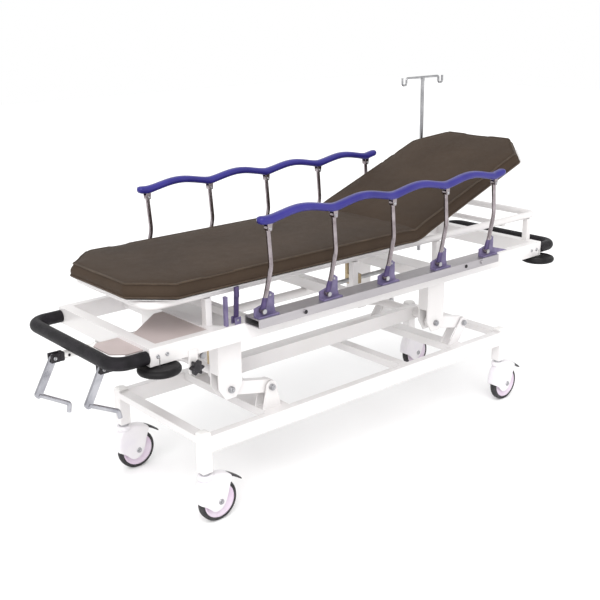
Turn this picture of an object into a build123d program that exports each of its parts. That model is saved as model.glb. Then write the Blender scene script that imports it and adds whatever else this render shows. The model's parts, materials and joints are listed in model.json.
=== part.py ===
import os
from math import atan2, cos, degrees, hypot, radians, sin

from build123d import *

# Stretcher trolley, millimetres, +X to the head end, near side -Y, +Z up.
# Origin: centre of the footprint, on the floor.

# wheels
wheel_r = 75.0
wheel_w = 30.0
trail = 45.0
axle_r = 5.0
stem_r = 6.0
run_gap = 0.05

# base
base_x0 = -760.0
base_x1 = 840.0
base_half_w = 285.0
base_top = 327.0
rail_h = 60.0
rail_w = 30.0
leg_s = 40.0
leg_bottom = 195.0
wall = 2.5

# lifting arms
arm_dx = -177.0
arm_dz = 40.0
base_pivot_z = 405.0
base_pivot_xs = (-423.0, 611.0)
frame_pivot_z = base_pivot_z + arm_dz
frame_pivot_xs = (base_pivot_xs[0] + arm_dx, base_pivot_xs[1] + arm_dx)
arm_y0 = 198.0
arm_y1 = 226.0
pin_r = 8.0
cross_tube_r = 19.0
cheek_in = (187.0, 193.0)
cheek_out = (231.0, 237.0)

# upper frame
up_x0 = -943.0
up_x1 = 1040.0
up_y0 = 266.0
up_y1 = 296.0
up_z0 = 632.0
up_z1 = 692.0
handle_z = 660.0
handle_y = 281.0
handle_r = 22.0
foot_bar_x = -1058.0
head_bar_x = 1153.0
disc_r = 70.0
disc_z0 = 605.0
disc_z1 = 629.0
disc_y = 290.0
disc_xs = (-908.0, 1031.0)

# cranks and screws
shaft_z = 612.0
shaft_r = 9.0
height_y = -153.0
back_y = 40.0
height_knuckle_x = -1032.0
back_knuckle_x = -1100.0
lever_len = 120.0
lever_tilt = 9.0
back_lever_len = 150.0
back_lever_tilt = 9.5

# platform and mattress
deck_z = 800.0
deck_y = 230.0
deck_tube_r = 14.0
deck_t = 2.0
fold_x = 268.0
fold_z = 806.0
fold_pin_r = 5.0
back_angle = 20.5
mat_x0 = -963.0
mat_len_back = 776.0
mat_half_w = 305.0
mat_z0 = 822.0
mat_z1 = 880.0
mat_cut = 126.0
deck_top = mat_z0 - 0.5

# side rails
post_x0 = -519.0
post_pitch = 283.5
post_y = 358.0
post_r = 8.0
post_foot_dx = -30.0
post_foot_z = 742.0
post_top_z = 1012.0
rail_bottom_z = 1027.0
rail_rise = 19.0
channel_z0 = 689.0
channel_z1 = 719.0

# drip pole
pole_x = 931.0
pole_y = 315.0
pole_top = 1366.0

os.makedirs("parts", exist_ok=True)


def brick(x0, x1, y0, y1, z0, z1, mode=Mode.ADD):
    """Box between two corners."""
    with Locations(((x0 + x1) / 2, (y0 + y1) / 2, (z0 + z1) / 2)):
        Box(abs(x1 - x0), abs(y1 - y0), abs(z1 - z0), mode=mode)


def rod_x(y, z, x0, x1, r, mode=Mode.ADD):
    """Cylinder along X."""
    with Locations(Location(((x0 + x1) / 2, y, z), (0, 90, 0))):
        Cylinder(r, abs(x1 - x0), mode=mode)


def rod_y(x, z, y0, y1, r, mode=Mode.ADD):
    """Cylinder along Y."""
    with Locations(Location((x, (y0 + y1) / 2, z), (90, 0, 0))):
        Cylinder(r, abs(y1 - y0), mode=mode)


def rod_z(x, y, z0, z1, r, mode=Mode.ADD):
    """Cylinder along Z."""
    with Locations((x, y, (z0 + z1) / 2)):
        Cylinder(r, abs(z1 - z0), mode=mode)


def plate(points, y0, y1, mode=Mode.ADD):
    """Flat plate with an X-Z outline, between two Y values."""
    low, high = min(y0, y1), max(y0, y1)
    with BuildSketch(Plane.XZ.offset(-high)) as outline:
        with BuildLine():
            Polyline(*points, close=True)
        make_face()
    extrude(outline.sketch, amount=high - low, mode=mode)


def link_plate(xa, za, xb, zb, r, y0, y1, mode=Mode.ADD):
    """Straight bar with round ends, in the X-Z plane."""
    length = hypot(xb - xa, zb - za)
    turn = degrees(atan2(zb - za, xb - xa))
    low, high = min(y0, y1), max(y0, y1)
    with BuildSketch(Plane.XZ.offset(-high)) as outline:
        with Locations(Location(((xa + xb) / 2, (za + zb) / 2), turn)):
            SlotCenterToCenter(length, 2 * r)
    extrude(outline.sketch, amount=high - low, mode=mode)


def tube_path(points, r, bend):
    """Round bar swept along a bent path."""
    with BuildLine() as path:
        FilletPolyline(*points, radius=bend)
    with BuildSketch(Plane(origin=path.line @ 0, z_dir=path.line % 0)) as section:
        Circle(r)
    sweep(section.sketch, path=path.line)


def save(builder, label):
    builder.part.label = label
    export_step(builder.part, "parts/" + label + ".step")


sides = (-1, 1)
leg_xs = (base_x0 + leg_s / 2, base_x1 - leg_s / 2)
leg_y = base_half_w - leg_s / 2
post_xs = [post_x0 + i * post_pitch for i in range(5)]
foot_px, head_px = frame_pivot_xs

# ------------------------------------------------------------------ base
cross_members = ((-465.0, -360.0), (211.0, 251.0), (520.0, 580.0))
with BuildPart() as base_frame:
    for s in sides:
        brick(leg_xs[0], leg_xs[1], s * (base_half_w - rail_w), s * base_half_w,
              base_top - rail_h, base_top)
        for x in leg_xs:
            brick(x - leg_s / 2, x + leg_s / 2, s * leg_y - leg_s / 2,
                  s * leg_y + leg_s / 2, leg_bottom, base_top + 3)
    for x in leg_xs:
        brick(x - leg_s / 2, x + leg_s / 2, -leg_y, leg_y, base_top - 25, base_top)
    for x0, x1 in cross_members:
        brick(x0, x1, -base_half_w + 15, base_half_w - 15, base_top - 30, base_top)
    for s in sides:
        brick(leg_xs[0] + 22, leg_xs[1] - 22, s * (base_half_w - rail_w + wall),
              s * (base_half_w - wall), base_top - rail_h + wall, base_top - wall, Mode.SUBTRACT)
        for x in leg_xs:
            brick(x - 18, x + 18, s * leg_y - 18, s * leg_y + 18, leg_bottom + 42,
                  base_top - 1, Mode.SUBTRACT)
    for x in leg_xs:
        brick(x - 18, x + 18, -leg_y + 22, leg_y - 22, base_top - 23, base_top - 2,
              Mode.SUBTRACT)
    for x0, x1 in cross_members:
        brick(x0 + wall, x1 - wall, -base_half_w + rail_w + 2, base_half_w - rail_w - 2,
              base_top - 30 + wall, base_top - wall, Mode.SUBTRACT)
    for s in sides:
        for y0, y1 in (cheek_in, cheek_out):
            x, z = base_pivot_xs[0], base_pivot_z
            plate([(x - 40, base_top - 2), (x + 40, base_top - 2), (x + 22, z), (x - 22, z)],
                  s * y0, s * y1)
            rod_y(x, z, s * y0, s * y1, 22.8)
            x = base_pivot_xs[1]
            plate([(522, base_top - 2), (578, base_top - 2), (x + 20, z - 10), (x - 20, z + 10)],
                  s * y0, s * y1)
            rod_y(x, z, s * y0, s * y1, 22.8)
    for s in sides:
        for x in base_pivot_xs:
            rod_y(x, base_pivot_z, s * 180, s * 242, pin_r, Mode.SUBTRACT)
        for x in leg_xs:
            rod_z(x, s * leg_y, leg_bottom - 1, leg_bottom + 40, 8.0, Mode.SUBTRACT)
save(base_frame, "base_frame")

with BuildPart() as leg_caps:
    for s in sides:
        for x in leg_xs:
            with Locations((x, s * leg_y, base_top + 6.5)):
                Box(leg_s + 1, leg_s + 1, 7)
    fillet(leg_caps.edges().group_by(Axis.Z)[-1], radius=5)
save(leg_caps, "leg_caps")

with BuildPart() as castor_stems:
    for s in sides:
        for x in leg_xs:
            rod_z(x, s * leg_y, 160, leg_bottom + 38, stem_r)
            rod_z(x, s * leg_y, 187, leg_bottom, 18)
            rod_z(x, s * leg_y, 156, 160, 9)
save(castor_stems, "castor_stems")

with BuildPart() as base_pins:
    for s in sides:
        for x in base_pivot_xs:
            rod_y(x, base_pivot_z, s * 183, s * 240, pin_r)
            rod_y(x, base_pivot_z, s * 237, s * 246, 12)
            rod_y(x, base_pivot_z, s * 178, s * 187, 12)
save(base_pins, "base_pins")

# --------------------------------------------------------------- castors
castor_keys = {"near_foot": (leg_xs[0], -leg_y), "far_foot": (leg_xs[0], leg_y),
               "near_head": (leg_xs[1], -leg_y), "far_head": (leg_xs[1], leg_y)}
brake_dx = 30.0
brake_z = 160.0


def make_castor(key, cx, cy):
    """Fork, tyre, wheel centre and brake pedal of one castor."""
    wx = cx + trail
    with BuildPart() as fork:
        rod_z(cx, cy, 163, 186, 26)
        for s in sides:
            plate([(cx - 24, 184), (cx + 20, 184), (wx + 42, 170), (wx + 40, 150), (wx + 14, 70),
                   (wx + 8, 62), (wx - 8, 62), (wx - 16, 72), (cx - 26, 150)],
                  cy + s * 18, cy + s * 22)
        brick(cx - 24, wx - 5, cy - 20, cy + 20, 166, 184)
        rod_y(wx, wheel_r, cy - 80, cy + 80, wheel_r + 4, Mode.SUBTRACT)
        for s in sides:
            plate([(cx - 24, 170), (cx + 20, 172), (wx + 42, 168), (wx + 40, 150), (wx + 14, 70),
                   (wx + 8, 62), (wx - 8, 62), (wx - 16, 72), (cx - 26, 150)],
                  cy + s * 18, cy + s * 22)
        rod_z(cx, cy, 150, 190, stem_r + run_gap, Mode.SUBTRACT)
        rod_z(cx, cy, 150, 163, 11, Mode.SUBTRACT)
        rod_y(wx, wheel_r, cy - 26, cy + 26, axle_r)
        rod_y(wx, wheel_r, cy - 27, cy - 22, 9)
        rod_y(wx, wheel_r, cy + 22, cy + 27, 9)
        rod_y(wx + brake_dx, brake_z, cy - 24, cy + 24, 4)
    save(fork, "fork_" + key)
    with BuildPart() as tyre:
        rod_y(wx, wheel_r, cy - wheel_w / 2, cy + wheel_w / 2, wheel_r)
        fillet(tyre.edges().filter_by(GeomType.CIRCLE), radius=7)
        rod_y(wx, wheel_r, cy - 20, cy + 20, 62, Mode.SUBTRACT)
    save(tyre, "tyre_" + key)
    with BuildPart() as core:
        rod_y(wx, wheel_r, cy - 13, cy + 13, 61.97)
        for s in sides:
            rod_y(wx, wheel_r, cy + s * 7, cy + s * 14, 50, Mode.SUBTRACT)
        rod_y(wx, wheel_r, cy - 16, cy + 16, 16)
        rod_y(wx, wheel_r, cy - 20, cy + 20, axle_r + run_gap, Mode.SUBTRACT)
    save(core, "wheel_" + key)
    with BuildPart() as pedal:
        link_plate(wx + brake_dx, brake_z, wx + 96, 122, 4, cy - 15, cy + 15)
        rod_y(wx + brake_dx, brake_z, cy - 15, cy + 15, 8.5)
        rod_y(wx + brake_dx, brake_z, cy - 20, cy + 20, 4 + run_gap, Mode.SUBTRACT)
    save(pedal, "brake_" + key)


for key, (cx, cy) in castor_keys.items():
    make_castor(key, cx, cy)

# ---------------------------------------------------------- lifting arms
mid_dx = arm_dx / 2
mid_z = base_pivot_z + arm_dz / 2


def arm_pair(bx):
    """Two side arms and their cross tube."""
    for s in sides:
        link_plate(bx, base_pivot_z, bx + arm_dx, frame_pivot_z, 24, s * arm_y0, s * arm_y1)
    rod_y(bx + mid_dx, mid_z, -arm_y0 - 5, arm_y0 + 5, cross_tube_r)
    rod_y(bx + mid_dx, mid_z, -arm_y0 + 2, arm_y0 - 2, cross_tube_r - 3, Mode.SUBTRACT)


def arm_bores(bx):
    for s in sides:
        for x, z in ((bx, base_pivot_z), (bx + arm_dx, frame_pivot_z)):
            rod_y(x, z, s * 190, s * 235, pin_r + run_gap, Mode.SUBTRACT)


lever_x = foot_px - lever_len * sin(radians(lever_tilt))
lever_z = frame_pivot_z + lever_len * cos(radians(lever_tilt))
with BuildPart() as foot_lift_arm:
    arm_pair(base_pivot_xs[0])
    link_plate(base_pivot_xs[0] + mid_dx, mid_z, foot_px, frame_pivot_z + 35, 20,
               height_y - 6, height_y + 6)
    link_plate(foot_px, frame_pivot_z + 35, lever_x, lever_z, 14, height_y - 6, height_y + 6)
    rod_y(lever_x, lever_z, height_y - 24, height_y + 6, 6)
    arm_bores(base_pivot_xs[0])
save(foot_lift_arm, "foot_lift_arm")

with BuildPart() as head_lift_arm:
    arm_pair(base_pivot_xs[1])
    arm_bores(base_pivot_xs[1])
save(head_lift_arm, "head_lift_arm")

tie_y0 = -45.0
tie_y1 = -15.0
tie_x0 = base_pivot_xs[0] + mid_dx
tie_x1 = base_pivot_xs[1] + mid_dx
with BuildPart() as tie_bar:
    link_plate(tie_x0, mid_z, tie_x1, mid_z, 28, tie_y0, tie_y1)
    brick(tie_x0 + 40, tie_x1 - 40, tie_y0 + wall, tie_y1 - wall, mid_z - 25.5, mid_z + 25.5,
          Mode.SUBTRACT)
    rod_y(tie_x0, mid_z, -60, 0, cross_tube_r + run_gap, Mode.SUBTRACT)
    rod_y(tie_x1, mid_z, -60, 0, cross_tube_r + 0.5, Mode.SUBTRACT)
save(tie_bar, "tie_bar")

# ----------------------------------------------------------- upper frame
up_cross = ((up_x0, up_x0 + 40, up_z0, up_z1), (-700.0, -660.0, up_z0 + 10, up_z1),
            (-487.0, -457.0, up_z0, up_z0 + 30), (foot_px - 49, foot_px + 49, up_z0, up_z1 - 20),
            (head_px - 49, head_px + 49, up_z0, up_z1 - 20), (-40.0, 0.0, up_z0, up_z1 - 20),
            (up_x1 - 40, up_x1, up_z0, up_z1))
stub_xs = (-680.0, -20.0, 434.0, 1020.0)
with BuildPart() as upper_frame:
    for s in sides:
        brick(up_x0, up_x1, s * up_y0, s * up_y1, up_z0, up_z1)
        brick(up_x0 + 3, up_x1 - 3, s * (up_y0 + wall), s * (up_y1 - wall), up_z0 + wall,
              up_z1 - wall, Mode.SUBTRACT)
    for x0, x1, z0, z1 in up_cross:
        brick(x0, x1, -up_y0 - 1, up_y0 + 1, z0, z1)
        brick(x0 + wall, x1 - wall, -up_y0 + 2, up_y0 - 2, z0 + wall, z1 - wall, Mode.SUBTRACT)
    brick(-802, -770, -300, -292, 572, up_z0 + 20)
    for x in disc_xs:
        rod_z(x, -disc_y, up_z0 - 1, up_z0 + 25, 6, Mode.SUBTRACT)
    rod_y(-786, 596, -305, -285, 5, Mode.SUBTRACT)
save(upper_frame, "upper_frame")

# cheeks for the lifting arms, screw bearings with the guard tube, and platform stubs
with BuildPart() as frame_brackets:
    for s in sides:
        for px in frame_pivot_xs:
            for y0, y1 in (cheek_in, cheek_out):
                plate([(px - 49, up_z0), (px + 49, up_z0), (px + 49, frame_pivot_z + 10),
                       (px + 22, frame_pivot_z - 33), (px - 22, frame_pivot_z - 33),
                       (px - 49, frame_pivot_z + 10)], s * y0, s * y1)
            brick(px - 49, px - 43, s * cheek_in[1], s * cheek_out[0],
                  frame_pivot_z + 60, up_z0)
            rod_y(px, frame_pivot_z, s * 180, s * 242, pin_r, Mode.SUBTRACT)
    for y in (height_y, back_y):
        brick(up_x0 + 5, up_x0 + 35, y - 18, y + 18, 590, up_z0)
    brick(-482, -466, height_y - 18, height_y + 18, 590, up_z0)
    brick(head_px - 20, head_px - 4, back_y - 18, back_y + 18, 590, up_z0)
    rod_x(back_y, shaft_z, up_x0 + 35, 120, 17)
    brick(-30, -10, back_y - 17, back_y + 17, shaft_z, up_z0)
    brick(-690, -670, back_y - 17, back_y + 17, shaft_z, up_z0 + 10)
    for y in (height_y, back_y):
        rod_x(y, shaft_z, up_x0 - 5, 440, shaft_r + run_gap, Mode.SUBTRACT)
    for x in stub_xs:
        top = up_z1 if x > 1000 or x < -600 else up_z1 - 20
        for s in sides:
            brick(x - 12, x + 12, s * deck_y - 12, s * deck_y + 12, top,
                  deck_z - deck_tube_r)
save(frame_brackets, "frame_brackets")

# thin plates over the foot end of the frame and inside the handle's corner
cover_x0 = up_x0 + 40
cover_x1 = -700.0
with BuildPart() as frame_covers:
    with BuildSketch(Plane.XY.offset(up_z1 - 9)):
        with BuildLine():
            Polyline((cover_x0, -130), (cover_x1 - 35, 8), (cover_x1, 8),
                     (cover_x1, -up_y0), (cover_x0, -up_y0), close=True)
        make_face()
    extrude(amount=4)
    with BuildSketch(Plane.XY.offset(handle_z + 16)):
        with BuildLine():
            Polyline((up_x0, -258), (up_x0 - 55, -258), (up_x0 - 97, -222),
                     (up_x0 - 97, -125), (up_x0 - 77, -105), (up_x0, -105), close=True)
        make_face()
    extrude(amount=4)
save(frame_covers, "frame_covers")

with BuildPart() as lift_pins:
    for s in sides:
        for px in frame_pivot_xs:
            rod_y(px, frame_pivot_z, s * 183, s * 240, pin_r)
            rod_y(px, frame_pivot_z, s * 237, s * 246, 12)
            rod_y(px, frame_pivot_z, s * 178, s * 187, 12)
        for x in post_xs:
            rod_y(x + post_foot_dx, post_foot_z, s * 339, s * 369, 4)
            rod_y(x + post_foot_dx, post_foot_z, s * 367.5, s * 371, 8)
        rod_y(-600, 706, s * 269, s * 292, 4)
    for x in disc_xs:
        rod_z(x, -disc_y, 601, up_z0 + 24, 6)
        rod_z(x, -disc_y, 597, 603, 11)
    rod_y(-786, 596, -322, -286, 5)
save(lift_pins, "frame_pins")


def push_handle(bar_x, end_x, label):
    with BuildPart() as handle:
        tube_path([(end_x, -handle_y, handle_z), (bar_x, -handle_y, handle_z),
                   (bar_x, handle_y, handle_z), (end_x, handle_y, handle_z)], handle_r, 62)
    save(handle, label)


push_handle(foot_bar_x, up_x0, "foot_handle")
push_handle(head_bar_x, up_x1, "head_handle")

for x, end in zip(disc_xs, ("foot", "head")):
    with BuildPart() as bumper:
        rod_z(x, -disc_y, disc_z0, disc_z1, disc_r)
        fillet(bumper.edges().filter_by(GeomType.CIRCLE), radius=10)
        rod_z(x, -disc_y, 590, 640, 6 + run_gap, Mode.SUBTRACT)
    save(bumper, "bumper_" + end)

with BuildPart() as side_knob:
    rod_y(-786, 596, -326, -304, 20)
    with Locations(Location((-786, -315, 596), (90, 0, 0))):
        with PolarLocations(19, 6):
            Cylinder(6.5, 22)
    rod_y(-786, 596, -304, -301, 12)
    rod_y(-786, 596, -330, -300, 5 + run_gap, Mode.SUBTRACT)
save(side_knob, "side_knob")

# ------------------------------------------------------ side rail mounts
with BuildPart() as side_channels:
    for s in sides:
        brick(post_xs[0] - 56, post_xs[-1] + 35, s * up_y1, s * 372, channel_z0, channel_z1)
        brick(post_xs[0] - 60, post_xs[-1] + 40, s * (up_y1 + 4), s * 368,
              channel_z0 + 4, channel_z1 - 4, Mode.SUBTRACT)
        for x in (-380.0, 546.0):
            rod_y(x, 706, s * 371, s * 377, 8)
save(side_channels, "side_channels")

with BuildPart() as post_brackets:
    for s in sides:
        for i, x in enumerate(post_xs):
            tail = 120 if i == 4 else 34
            plate([(x - 52, channel_z1), (x + tail, channel_z1), (x + 28, channel_z1 + 26),
                   (x + 28, channel_z1 + 70), (x + 8, channel_z1 + 70), (x - 10, channel_z1 + 40),
                   (x - 52, channel_z1 + 30)], s * 338, s * 347)
            brick(x - 52, x + 34, s * 338, s * 366, channel_z1, channel_z1 + 6)
            rod_y(x + post_foot_dx, post_foot_z, s * 330, s * 380, 4, Mode.SUBTRACT)
        for y0, y1 in ((269, 273.5), (288.5, 292)):
            brick(-612, -588, s * y0, s * y1, up_z1, up_z1 + 24)
        brick(-646, -636, s * 274, s * 288, up_z1, up_z1 + 100)
        rod_y(-600, 706, s * 260, s * 300, 4, Mode.SUBTRACT)
save(post_brackets, "post_brackets")


def make_rail_side(s, side):
    """Five curved posts, the wavy top rail and the latch lever of one side."""
    for i, x in enumerate(post_xs):
        with BuildPart() as post:
            tube_path([(x + post_foot_dx, s * post_y, post_foot_z + 5), (x - 14, s * post_y, 796),
                       (x + 9, s * post_y, 885), (x, s * post_y, post_top_z - 5)], post_r, 110)
            for px, pz in ((x + post_foot_dx, post_foot_z), (x, post_top_z)):
                rod_y(px, pz, s * (post_y - 8.5), s * (post_y + 8.5), 9.6)
                rod_y(px, pz, s * 330, s * 390, 4 + run_gap, Mode.SUBTRACT)
        save(post, side + "_post_" + str(i + 1))
    top = []
    tip0 = post_xs[0] - 42
    tip1 = post_xs[-1] + 61
    top.append((tip0, rail_bottom_z + 2))
    for i, x in enumerate(post_xs):
        top.append((x, rail_bottom_z))
        if i < 4:
            top.append((x + post_pitch / 2, rail_bottom_z + rail_rise))
    top.append((tip1, rail_bottom_z + 9))
    upper = [(px, pz + 25) for px, pz in top]
    with BuildPart() as rail:
        with BuildSketch(Plane.XZ.offset(-s * post_y - 20)):
            with BuildLine():
                Spline(*top)
                Line(top[-1], upper[-1])
                Spline(*upper)
                Line(upper[0], top[0])
            make_face()
        extrude(amount=40)
        fillet(rail.edges().filter_by(GeomType.BSPLINE), radius=9)
        for x in post_xs:
            for t in (-1, 1):
                y0 = s * post_y + t * 9
                y1 = s * post_y + t * 12.5
                plate([(x - 12, 1003), (x + 12, 1003), (x + 15, rail_bottom_z + 4),
                       (x - 15, rail_bottom_z + 4)], y0, y1)
            rod_y(x, post_top_z, s * post_y - 14, s * post_y + 14, 4)
    save(rail, side + "_rail")
    with BuildPart() as latch:
        link_plate(-600, 706, -596, 790, 6, s * 275, s * 287)
        rod_y(-600, 706, s * 274.5, s * 287.5, 10)
        rod_z(-595, s * 281, 782, 818, 9)
        rod_y(-600, 706, s * 260, s * 300, 4 + run_gap, Mode.SUBTRACT)
    save(latch, side + "_latch")


make_rail_side(-1, "near")
make_rail_side(1, "far")

# --------------------------------------------------------------- cranks


def make_crank(label, y, knuckle_x, shaft_end, arm_end, grip_end, hook_end):
    """Screw shaft with its knuckle, and the folding crank handle."""
    with BuildPart() as shaft:
        rod_x(y, shaft_z, knuckle_x + 6, shaft_end, shaft_r)
        rod_x(y, shaft_z, knuckle_x + 30, up_x0 + 3, 14)
        brick(knuckle_x - 14, knuckle_x + 34, y - 15, y + 15, shaft_z - 15, shaft_z + 15)
        brick(knuckle_x - 30, knuckle_x + 18, y - 7, y + 7, shaft_z - 20, shaft_z + 20,
              Mode.SUBTRACT)
        rod_y(knuckle_x, shaft_z, y - 16, y + 16, 4)
    save(shaft, label + "_shaft")
    ax, az = arm_end
    gx, gz = grip_end
    hx, hz = hook_end
    with BuildPart() as handle:
        link_plate(knuckle_x, shaft_z, ax, az, 12, y - 6, y + 6)
        with BuildLine() as path:
            FilletPolyline((ax, y, az), (gx, y, gz), (hx, y, hz), radius=10)
        with BuildSketch(Plane(origin=path.line @ 0, z_dir=path.line % 0)):
            Circle(8)
        sweep()
        rod_y(knuckle_x, shaft_z, y - 20, y + 20, 4 + run_gap, Mode.SUBTRACT)
    save(handle, label + "_handle")


make_crank("height", height_y, height_knuckle_x, -466, (-1089, 504), (-986, 453), (-981, 429))
make_crank("back", back_y, back_knuckle_x, 430, (-1163, 500), (-1058, 439), (-1063, 410))

with BuildPart() as height_nut:
    brick(lever_x - 22, lever_x + 22, height_y - 24, height_y + 16, 592, 630)
    brick(lever_x - 22, lever_x + 22, height_y - 24, height_y - 10, 528, 594)
    rod_x(height_y, shaft_z, lever_x - 30, lever_x + 30, shaft_r + run_gap, Mode.SUBTRACT)
    brick(lever_x - 8.5, lever_x + 8.5, height_y - 30, height_y - 6, 536, 576, Mode.SUBTRACT)
save(height_nut, "height_nut")

back_pin_x = fold_x - back_lever_len * sin(radians(back_lever_tilt))
back_pin_z = fold_z - back_lever_len * cos(radians(back_lever_tilt))
with BuildPart() as back_nut:
    brick(back_pin_x - 22, back_pin_x + 22, back_y - 18, back_y + 32, 592, 632)
    brick(back_pin_x - 22, back_pin_x + 22, back_y + 18, back_y + 32, 630, 706)
    rod_x(back_y, shaft_z, back_pin_x - 30, back_pin_x + 30, shaft_r + run_gap, Mode.SUBTRACT)
    brick(back_pin_x - 9, back_pin_x + 9, back_y + 10, back_y + 40, 646, 694, Mode.SUBTRACT)
save(back_nut, "back_nut")

# ------------------------------------------------- platform and backrest
with BuildPart() as platform_frame:
    for end_x in (1071, -900):
        loop = [(-100, -deck_y, deck_z), (end_x, -deck_y, deck_z), (end_x, deck_y, deck_z),
                (-100, deck_y, deck_z)]
        tube_path(loop, deck_tube_r, 40)
        rod_y(end_x, deck_z, -deck_y + 45, deck_y - 45, deck_tube_r - 2, Mode.SUBTRACT)
    for s in sides:
        rod_x(s * deck_y, deck_z, -850, 1020, deck_tube_r - 2, Mode.SUBTRACT)
    rod_y(-450, deck_z, -deck_y, deck_y, 11)
    rod_y(860, deck_z - 15, -deck_y, deck_y, 11)
    brick(fold_x - 50, fold_x - 22, -deck_y, deck_y, deck_z - 6, deck_top - deck_t)
    for x in (-870.0, -640.0, -200.0, fold_x - 60):
        brick(x, x + 20, -deck_y, deck_y, deck_z + 5, deck_top - deck_t)
    with BuildSketch(Plane.XY.offset(deck_top - deck_t)):
        with BuildLine():
            Polyline((fold_x - 22, -285), (-830, -285), (-940, -175), (-940, 175), (-830, 285),
                     (fold_x - 22, 285), close=True)
        make_face()
    extrude(amount=deck_t)
    for s in sides:
        plate([(fold_x - 30, 812), (fold_x - 30, 794), (fold_x - 8, 790), (fold_x + 10, 796),
               (fold_x + 12, fold_z), (fold_x + 4, fold_z + 10)], s * 200, s * 206)
        rod_y(fold_x, fold_z, s * 203, s * 219, fold_pin_r)
save(platform_frame, "platform_frame")

turn_back = Axis((fold_x, 0, fold_z), (0, 1, 0))
back_deck_x = fold_x + mat_len_back - 18
back_bar_x = back_deck_x - 30
with BuildPart() as backrest_flat:
    for s in sides:
        brick(fold_x + 16, back_bar_x, s * 178, s * 198, 799.5, deck_top - deck_t)
        brick(fold_x + 19, back_bar_x - 3, s * 180, s * 196, 801.5, 817.5, Mode.SUBTRACT)
        plate([(fold_x - 8, 796), (fold_x + 40, 798), (fold_x + 40, 818), (fold_x + 12, 818),
               (fold_x - 8, 814)], s * 207.5, s * 212)
        brick(fold_x + 18, fold_x + 40, s * 190, s * 212, 800, 818)
        rod_y(fold_x, fold_z, s * 190, s * 230, fold_pin_r + run_gap, Mode.SUBTRACT)
    for x in (fold_x + 16, fold_x + 340, back_bar_x - 20):
        brick(x, x + 20, -180, 180, 803.5, deck_top - deck_t)
    with BuildSketch(Plane.XY.offset(deck_top - deck_t)):
        with BuildLine():
            Polyline((fold_x + 14, -285), (back_deck_x - 90, -285), (back_deck_x, -195),
                     (back_deck_x, 195), (back_deck_x - 90, 285), (fold_x + 14, 285), close=True)
        make_face()
    extrude(amount=deck_t)
with BuildPart() as backrest_frame:
    add(backrest_flat.part.rotate(turn_back, -back_angle))
    link_plate(fold_x + 24, fold_z + 2, fold_x + 12, fold_z - 28, 10, back_y - 6, back_y + 8)
    link_plate(fold_x + 12, fold_z - 28, back_pin_x, back_pin_z, 12, back_y - 6, back_y + 8)
    rod_y(back_pin_x, back_pin_z, back_y - 6, back_y + 34, 6)
save(backrest_frame, "backrest_frame")


def pad(x0, x1, cut_low):
    """Mattress block with corner cuts at one end."""
    with BuildSketch(Plane.XY.offset(mat_z0)) as outline:
        with BuildLine():
            if cut_low:
                Polyline((x1, -mat_half_w), (x0 + mat_cut, -mat_half_w),
                         (x0, -mat_half_w + mat_cut), (x0, mat_half_w - mat_cut),
                         (x0 + mat_cut, mat_half_w), (x1, mat_half_w), close=True)
            else:
                Polyline((x0, -mat_half_w), (x1 - mat_cut, -mat_half_w),
                         (x1, -mat_half_w + mat_cut), (x1, mat_half_w - mat_cut),
                         (x1 - mat_cut, mat_half_w), (x0, mat_half_w), close=True)
        make_face()
    extrude(outline.sketch, amount=mat_z1 - mat_z0)


def wedge(points):
    """Cut that opens the bend between the two pads."""
    with BuildSketch(Plane.XZ.offset(-400)) as outline:
        with BuildLine():
            Polyline(*points, close=True)
        make_face()
    extrude(outline.sketch, amount=800, mode=Mode.SUBTRACT)


rise = mat_z1 + 5 - fold_z
with BuildPart() as mattress_seat:
    pad(mat_x0, fold_x + 10, True)
    fillet(mattress_seat.edges().group_by(Axis.Z)[-1], radius=12)
    wedge([(fold_x - 1.5, fold_z), (fold_x - 1.5 - rise * 0.28, fold_z + rise),
           (fold_x + 40, fold_z + rise), (fold_x + 40, fold_z)])
save(mattress_seat, "mattress_seat")

with BuildPart() as back_pad_flat:
    pad(fold_x - 10, fold_x + mat_len_back, False)
    fillet(back_pad_flat.edges().group_by(Axis.Z)[-1], radius=12)
    wedge([(fold_x + 1.5, fold_z), (fold_x + 1.5 + rise * 0.90, fold_z + rise),
           (fold_x - 40, fold_z + rise), (fold_x - 40, fold_z)])
with BuildPart() as mattress_back:
    add(back_pad_flat.part.rotate(turn_back, -back_angle))
save(mattress_back, "mattress_back")

# ------------------------------------------------------------- drip pole
with BuildPart() as iv_socket:
    brick(pole_x - 20, pole_x + 20, up_y1, up_y1 + 8, 636, 688)
    rod_z(pole_x, pole_y, 620, 700, 15)
    brick(pole_x - 10, pole_x + 10, up_y1, pole_y - 6, 636, 688)
    rod_z(pole_x, pole_y, 615, 705, 9 + run_gap, Mode.SUBTRACT)
save(iv_socket, "iv_socket")

hook_w = 118.0
with BuildPart() as iv_pole:
    rod_z(pole_x, pole_y, 560, pole_top, 9)
    rod_z(pole_x, pole_y, 565, pole_top - 12, 7, Mode.SUBTRACT)
    tube_path([(pole_x - hook_w - 14, pole_y, pole_top + 2),
               (pole_x - hook_w - 14, pole_y, pole_top - 30),
               (pole_x - hook_w + 12, pole_y, pole_top - 30),
               (pole_x - hook_w + 12, pole_y, pole_top),
               (pole_x + hook_w - 12, pole_y, pole_top),
               (pole_x + hook_w - 12, pole_y, pole_top - 30),
               (pole_x + hook_w + 14, pole_y, pole_top - 30),
               (pole_x + hook_w + 14, pole_y, pole_top + 2)], 5, 9)
save(iv_pole, "iv_pole")
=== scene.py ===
"""Looks of the stretcher trolley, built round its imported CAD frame.

Metres, +X to the head end, near side -Y, +Z up, origin on the floor under the middle.
"""

import json
import math

import bmesh
import bpy
import numpy as np
from mathutils import Matrix, Vector
from mathutils.bvhtree import BVHTree


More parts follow.
